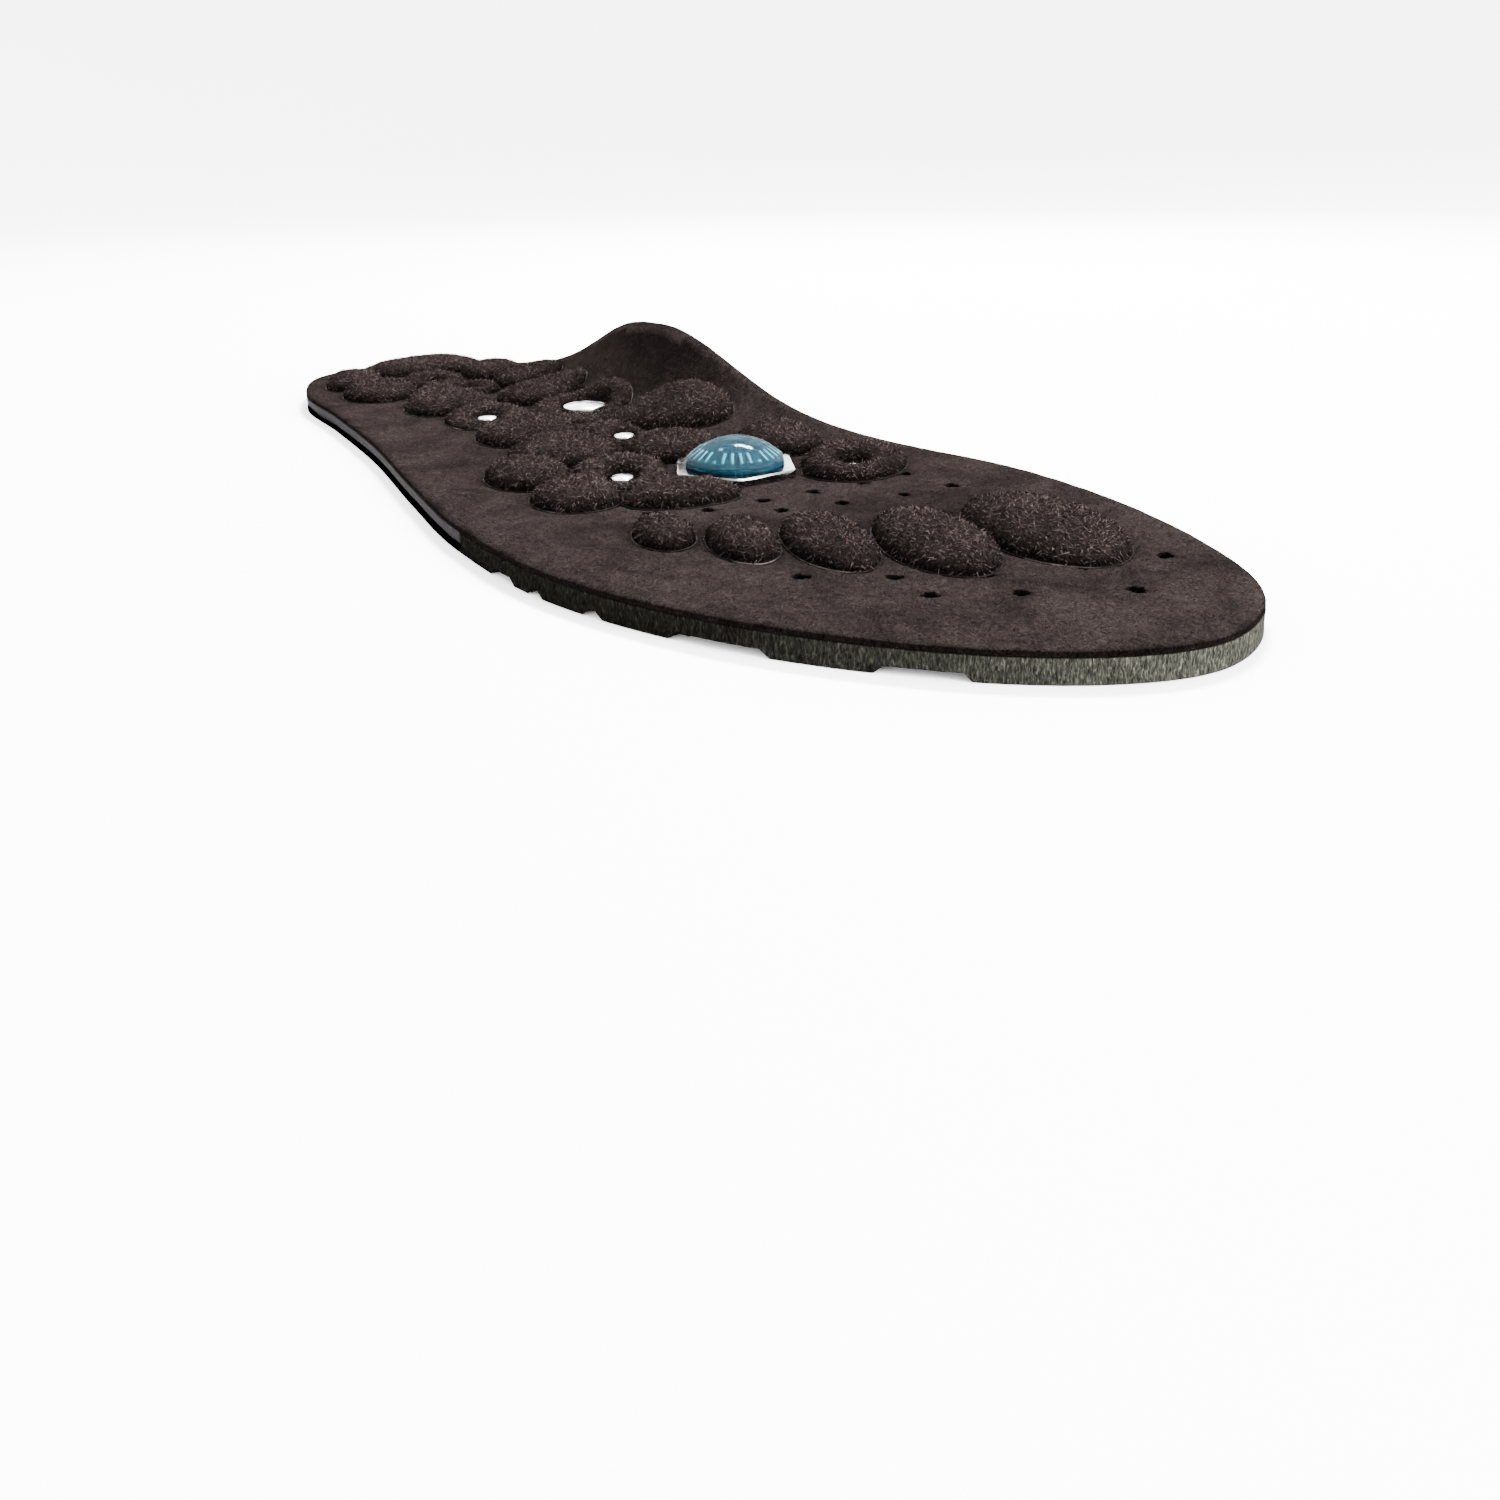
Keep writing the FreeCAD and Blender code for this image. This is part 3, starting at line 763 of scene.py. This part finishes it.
def make_pad(pad, materials, fibre):
    """Crowned foam pad with its velvet skin, its weld line and, in a ring pad, its well."""
    magnet = MAGNETS.get(pad[0])
    pole, reach = PAD_EDGES[pad[0]]
    count = len(reach)
    well = magnet[5] if magnet else 0.0
    rows = 22
    shares = [math.sin(math.pi / 2 * row / rows) for row in range(rows + 1)]
    verts = []
    faces = []
    marks = []
    seed = Vector((pad[1], pad[2], 3.0))
    drop = SLIGHT_RIM_DROP if pad[0] in FULL_RIMS else RIM_DROP
    for row, share in enumerate(shares):
        for step in range(count):
            angle = 2 * math.pi * step / count
            edge = reach[step]
            rim = well * (1 + 0.06 * math.sin(3 * angle + pad[1])) if magnet else 0.0
            radius = rim + (edge - rim) * share
            x = pole[0] + radius * math.cos(angle)
            y = pole[1] + radius * math.sin(angle)
            height = crown(radius / edge, pad)
            if magnet:
                height *= 1 - 0.85 * math.exp(-((radius - rim) / 1.3))
                height *= 1 - drop * ((1 + math.cos(angle - RIM_LOW_SIDE)) / 2) ** 1.4
            spot = Vector((x, y, 0.0))
            height += min(1.0, height) * (0.28 * noise.noise(spot * 0.16 + seed)
                                          + 0.10 * noise.noise(spot * 0.9))
            verts.append(place(x, y, VELVET - 0.25 + arch(x, y) + height))
    for row in range(rows):
        for step in range(count):
            after = (step + 1) % count
            faces.append((row * count + step, (row + 1) * count + step,
                          (row + 1) * count + after, row * count + after))
            marks.append(0)
    last = rows * count
    rings = [(0.20, 0.16), (0.28, -0.02), (0.0, -0.35)]
    for extra, lift in rings:
        for step in range(count):
            angle = 2 * math.pi * step / count
            radius = reach[step] + extra
            x = pole[0] + radius * math.cos(angle)
            y = pole[1] + radius * math.sin(angle)
            verts.append(place(x, y, VELVET - 0.25 + arch(x, y) + lift))
    for ring in range(len(rings)):
        for step in range(count):
            after = (step + 1) % count
            a = last + ring * count
            faces.append((a + step, a + count + step, a + count + after, a + after))
            marks.append(1 if ring < 2 else 0)
    bottom = last + len(rings) * count
    if magnet:
        foot = len(verts)
        for step in range(count):
            angle = 2 * math.pi * step / count
            x = pole[0] + well * math.cos(angle)
            y = pole[1] + well * math.sin(angle)
            verts.append(place(x, y, GROUND + 0.05 + arch(x, y)))
        for step in range(count):
            after = (step + 1) % count
            faces.append((bottom + step, foot + step, foot + after, bottom + after))
            marks.append(0)
            faces.append((foot + step, step, after, foot + after))
            marks.append(0)
    else:
        faces.append(tuple(bottom + step for step in range(count)))
        marks.append(0)
    piece = new_object(pad[0] + "_soft", verts, faces, materials, marks)
    if not magnet:
        work = bmesh.new()
        work.from_mesh(piece.data)
        bmesh.ops.remove_doubles(work, verts=work.verts, dist=1e-7)
        work.to_mesh(piece.data)
        work.free()
    add_piece(piece, pad[0])
    make_pile(piece, pad[0], 2.6, 1.0, 0.22, fibre)


def make_magnet(name, x, y, radius, thickness, material):
    base = GROUND
    high = base + thickness
    profile = [(radius * share, high + 0.35 * (1 - share ** 2))
               for share in (0.06, 0.3, 0.5, 0.68, 0.82, 0.92)]
    profile += [(radius - 0.04, high - 0.08), (radius, high - 0.25), (radius, base + 0.05)]
    piece = lathe(name + "_disc", (x, y), profile, [material])
    add_piece(piece, name)


# ---------------------------------------------------------------- button


def make_plate(material):
    """Clear hexagonal plate with softened corners and edges."""
    corners = [(11.8 * math.cos(math.radians(30 + 60 * k)),
                11.8 * math.sin(math.radians(30 + 60 * k))) for k in range(6)]
    outline = []
    for index, corner in enumerate(corners):
        here = Vector(corner)
        before = Vector(corners[index - 1])
        after = Vector(corners[(index + 1) % 6])
        start = here.lerp(before, 0.10)
        end = here.lerp(after, 0.10)
        for step in range(6):
            t = step / 5
            outline.append(start * (1 - t) ** 2 + here * 2 * t * (1 - t) + end * t ** 2)
    low = VELVET
    high = VELVET + 1.4
    levels = [(0.0, low), (0.0, high - 0.3), (0.09, high - 0.1), (0.3, high)]
    verts = []
    faces = []
    count = len(outline)
    for inset, height in levels:
        for spot in outline:
            moved = spot * (1 - inset / 11)
            verts.append(place(BUTTON[0] + moved.x, BUTTON[1] + moved.y, height))
    for row in range(len(levels) - 1):
        for step in range(count):
            after = (step + 1) % count
            faces.append((row * count + step, row * count + after,
                          (row + 1) * count + after, (row + 1) * count + step))
    faces.append(tuple(range(count)))
    faces.append(tuple(range((len(levels) - 1) * count, len(levels) * count)))
    piece = new_object("button_carrier", verts, faces, [material])
    for face in piece.data.polygons:
        face.use_smooth = len(face.vertices) < 5 and face.center.z > (high - 0.4) * MM
    add_piece(piece, "button_plate")


DOME_RADIUS = 9.0
DOME_SKIRT = 0.8
DOME_RISE = 4.0
DOME_BASE = VELVET + 1.7
PRINT_DEPTH = 0.35
TICKS = 30


def dome_height(radius):
    """Height of the dome's outer face at a radius from its centre."""
    ball = (DOME_RADIUS ** 2 + DOME_RISE ** 2) / (2 * DOME_RISE)
    return DOME_BASE + DOME_SKIRT + DOME_RISE - ball + math.sqrt(ball ** 2 - radius ** 2)


def make_print(sea, ink):
    """Printed disc, crowned under the dome because a clear dome makes its print fill it."""
    bottom = VELVET + 1.4
    profile = []
    for step in range(1, 18):
        radius = 8.3 * step / 17
        profile.append((radius, dome_height(radius) - PRINT_DEPTH))
    profile += [(8.6, bottom + 0.5), (8.6, bottom)]
    disc = lathe("button_disc", BUTTON, profile, [sea])
    add_piece(disc, "button_print")
    verts = []
    faces = []
    for step in range(TICKS):
        angle = 2 * math.pi * step / TICKS
        long = step % 5 == 0
        ends = (4.9 if long else 6.0, 7.9)
        half = 0.36 if long else 0.24
        out = Vector((math.cos(angle), math.sin(angle)))
        side = Vector((-out.y, out.x))
        start = len(verts)
        for lift in (-0.06, 0.07):
            for radius, sign in ((ends[0], -1), (ends[0], 1), (ends[1], 1), (ends[1], -1)):
                spot = out * radius + side * half * sign
                verts.append(place(BUTTON[0] + spot.x, BUTTON[1] + spot.y,
                                   dome_height(radius) - PRINT_DEPTH + lift))
        faces += [tuple(start + i for i in quad) for quad in
                  ((3, 2, 1, 0), (4, 5, 6, 7), (0, 1, 5, 4), (1, 2, 6, 5), (2, 3, 7, 6),
                   (3, 0, 4, 7))]
    ticks = new_object("button_ticks", verts, faces, [ink])
    add_piece(ticks, "button_print")


def make_dome(material):
    edge = DOME_BASE + DOME_SKIRT
    profile = []
    for step in range(1, 24):
        radius = DOME_RADIUS * step / 24
        profile.append((radius, dome_height(radius)))
    profile += [(DOME_RADIUS - 0.05, edge + 0.05), (DOME_RADIUS, edge - 0.1),
                (DOME_RADIUS, DOME_BASE + 0.12), (DOME_RADIUS - 0.1, DOME_BASE)]
    cap = lathe("button_cabochon", BUTTON, profile, [material], 96)
    add_piece(cap, "button_dome")


# ---------------------------------------------------------------- studio


def make_floor(material):
    """Pale floor that curves up far behind on every side."""
    rings = [0.05, 0.5, 1.2, 1.6, 1.9, 2.1, 2.2, 2.25]
    heights = [0.0, 0.0, 0.0, 0.06, 0.22, 0.48, 0.8, 1.2]
    verts = []
    faces = []
    count = 96
    for radius, height in zip(rings, heights):
        for step in range(count):
            angle = 2 * math.pi * step / count
            verts.append((radius * math.cos(angle), radius * math.sin(angle), height))
    for row in range(len(rings) - 1):
        for step in range(count):
            after = (step + 1) % count
            faces.append((row * count + step, row * count + after,
                          (row + 1) * count + after, (row + 1) * count + step))
    faces.append(tuple(range(count)))
    floor = new_object("floor", verts, faces, [material])
    floor.location.z = -0.0001


def add_light(name, position, size, power):
    lamp = bpy.data.lights.new(name, "AREA")
    lamp.shape = "RECTANGLE"
    lamp.size, lamp.size_y = size
    lamp.energy = power
    holder = bpy.data.objects.new(name, lamp)
    holder.location = position
    holder.rotation_mode = "QUATERNION"
    holder.rotation_quaternion = (-Vector(position)).to_track_quat("-Z", "Y")
    bpy.context.scene.collection.objects.link(holder)


def make_studio():
    world = bpy.data.worlds.new("studio")
    bpy.context.scene.world = world
    world.use_nodes = True
    world.node_tree.nodes["Background"].inputs["Color"].default_value = (1, 1, 1, 1)
    world.node_tree.nodes["Background"].inputs["Strength"].default_value = 6.3
    add_light("key", (-0.35, 0.45, 0.85), (0.32, 0.12), 88.0)
    add_light("window", (0.95, 0.40, 0.34), (0.4, 0.4), 84.0)


def make_camera():
    azimuth, elevation, roll = math.radians(54.7), math.radians(13.4), math.radians(-0.8)
    back = Vector((math.sin(azimuth) * math.cos(elevation),
                   -math.cos(azimuth) * math.cos(elevation), math.sin(elevation)))
    target = place(157.1, 20.2, VELVET)
    right = (-back).cross(Vector((0, 0, 1))).normalized()
    up = right.cross(-back)
    rolled = right * math.cos(roll) + up * math.sin(roll)
    rolled_up = up * math.cos(roll) - right * math.sin(roll)
    data = bpy.data.cameras.new("camera")
    data.sensor_width = 36.0
    data.lens = 1280 / 1500 * 36.0
    data.shift_x = -0.028
    data.shift_y = -0.194
    data.clip_start = 0.01
    data.clip_end = 20.0
    camera = bpy.data.objects.new("camera", data)
    place_at = target + back * 0.2322
    turn = Matrix((rolled, rolled_up, back)).transposed().to_4x4()
    camera.matrix_world = Matrix.Translation(place_at) @ turn
    bpy.context.scene.collection.objects.link(camera)
    bpy.context.scene.camera = camera


def build():
    # The flat cover gets a paler velvet than the pads: painted sheen on the flat velvet.
    flat = velvet_material("velvet_cover", (0.0010, 0.0008, 0.0007), (0.0135, 0.0102, 0.0097),
                           1250.0, 0.00045, 0.22, 0.42)
    # The pad skin is painted darker than its tufts: painted shade in the gaps between the fibres,
    # with the tufts as their lit tips.
    padding = velvet_material("velvet_pad", (0.0006, 0.0005, 0.0004), (0.0098, 0.0073, 0.0068),
                              1000.0, 0.00075, 0.25, 0.6)
    pad_fibre = velvet_material("velvet_pad_fibre", (0.005, 0.0038, 0.0035),
                                (0.036, 0.0272, 0.0255), 600.0, 0.0002, 0.25, 0.6)
    weld = weld_material()
    all_pad_outlines()
    make_rear_foam(moulded_material())
    make_toe_foam(speckled_material())
    make_cover(flat)
    metal = magnet_material()
    for pad in PADS:
        make_pad(pad, [padding, weld], pad_fibre)
        if pad[0] in MAGNETS:
            name, x, y, radius, thickness = MAGNETS[pad[0]][:5]
            make_magnet(name, x, y, radius, thickness, metal)
    make_plate(clear_material("clear_plate", 0.10, (0.90, 0.93, 0.94), 0.8))
    make_print(print_material(), tick_material())
    make_dome(cap_material())
    make_floor(floor_material())
    make_studio()
    make_camera()


build()
